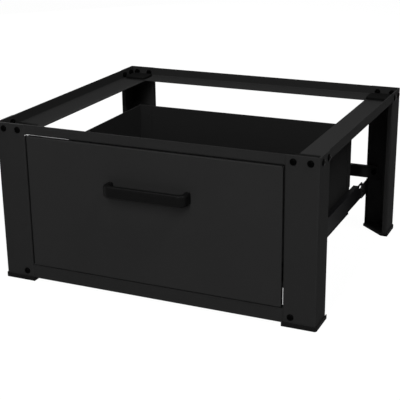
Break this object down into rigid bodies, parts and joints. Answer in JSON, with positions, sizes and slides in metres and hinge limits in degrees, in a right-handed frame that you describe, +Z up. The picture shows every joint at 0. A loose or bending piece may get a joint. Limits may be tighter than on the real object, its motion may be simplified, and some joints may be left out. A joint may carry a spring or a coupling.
{
  "type": "washer pedestal drawer",
  "caption": "Raised steel pedestal for a washing machine: open frame of folded angles on plastic feet with a pull-out drawer on ball-bearing runners.",
  "frame": {"origin": "floor level under the centre of the bounding box", "axes": "+X right, along the width; -Y the front with the handle; +Z up"},
  "size_m": [0.6316, 0.5718, 0.31],
  "materials": {
    "frame_paint": "semi-matt powder coat",
    "front_paint": "semi-matt powder coat",
    "box_paint": "semi-matt powder coat",
    "foot_plastic": "dull moulded plastic",
    "handle_plastic": "satin moulded plastic",
    "pad_rubber": "matt rubber",
    "black_zinc": "black zinc plating",
    "runner_steel": "black cataphoretic coating",
    "cage_steel": "bright zinc plating",
    "ball_steel": "polished steel"
  },
  "bodies": {
    "frame": {"leg_front_left": "frame_paint", "leg_front_right": "frame_paint", "leg_rear_left": "frame_paint", "leg_rear_right": "frame_paint", "foot_front_left": "foot_plastic", "foot_front_right": "foot_plastic", "foot_rear_left": "foot_plastic", "foot_rear_right": "foot_plastic", "top_rail_front": "frame_paint", "top_rail_rear": "frame_paint", "top_rail_left": "frame_paint", "top_rail_right": "frame_paint", "bottom_rail_front": "frame_paint", "rear_brace": "frame_paint", "pad_front_left": "pad_rubber", "pad_front_right": "pad_rubber", "pad_rear_left": "pad_rubber", "pad_rear_right": "pad_rubber", "frame_bolts": "black_zinc", "frame_nuts": "black_zinc", "runner_bracket_front_left": "frame_paint", "runner_bracket_front_right": "frame_paint", "runner_bracket_rear_left": "frame_paint", "runner_bracket_rear_right": "frame_paint", "tongue_screws": "black_zinc", "runner_outer_left": "runner_steel", "runner_outer_right": "runner_steel"},
    "drawer": {"runner_inner_left": "runner_steel", "runner_inner_right": "runner_steel", "runner_screws": "cage_steel", "drawer_front": "front_paint", "drawer_side_left": "box_paint", "drawer_side_right": "box_paint", "drawer_rear": "box_paint", "drawer_base": "box_paint", "front_nuts": "black_zinc", "drawer_rivets": "box_paint", "handle": "handle_plastic", "handle_screws": "black_zinc"},
    "middle_left": {"runner_middle_left": "runner_steel"},
    "middle_right": {"runner_middle_right": "runner_steel"},
    "outer_cage_left": {"outer_cage_left": "cage_steel", "outer_balls_left": "ball_steel"},
    "outer_cage_right": {"outer_cage_right": "cage_steel", "outer_balls_right": "ball_steel"},
    "inner_cage_left": {"inner_cage_left": "cage_steel", "inner_balls_left": "ball_steel"},
    "inner_cage_right": {"inner_cage_right": "cage_steel", "inner_balls_right": "ball_steel"}
  },
  "joints": [
    {"name": "drawer_slide", "type": "slide", "parent": "frame", "child": "drawer", "axis": [0, -1, 0], "range_m": [0, 0.43]},
    {"name": "middle_left_slide", "type": "slide", "parent": "frame", "child": "middle_left", "axis": [0, -1, 0], "range_m": [0, 0.215]},
    {"name": "middle_right_slide", "type": "slide", "parent": "frame", "child": "middle_right", "axis": [0, -1, 0], "range_m": [0, 0.215]},
    {"name": "outer_cage_left_slide", "type": "slide", "parent": "frame", "child": "outer_cage_left", "axis": [0, -1, 0], "range_m": [0, 0.1075]},
    {"name": "outer_cage_right_slide", "type": "slide", "parent": "frame", "child": "outer_cage_right", "axis": [0, -1, 0], "range_m": [0, 0.1075]},
    {"name": "inner_cage_left_slide", "type": "slide", "parent": "frame", "child": "inner_cage_left", "axis": [0, -1, 0], "range_m": [0, 0.3225]},
    {"name": "inner_cage_right_slide", "type": "slide", "parent": "frame", "child": "inner_cage_right", "axis": [0, -1, 0], "range_m": [0, 0.3225]}
  ],
  "couplings": [
    {"joint": "middle_left_slide", "follows": "drawer_slide", "ratio": 0.5},
    {"joint": "middle_right_slide", "follows": "drawer_slide", "ratio": 0.5},
    {"joint": "outer_cage_left_slide", "follows": "drawer_slide", "ratio": 0.25},
    {"joint": "outer_cage_right_slide", "follows": "drawer_slide", "ratio": 0.25},
    {"joint": "inner_cage_left_slide", "follows": "drawer_slide", "ratio": 0.75},
    {"joint": "inner_cage_right_slide", "follows": "drawer_slide", "ratio": 0.75}
  ]
}
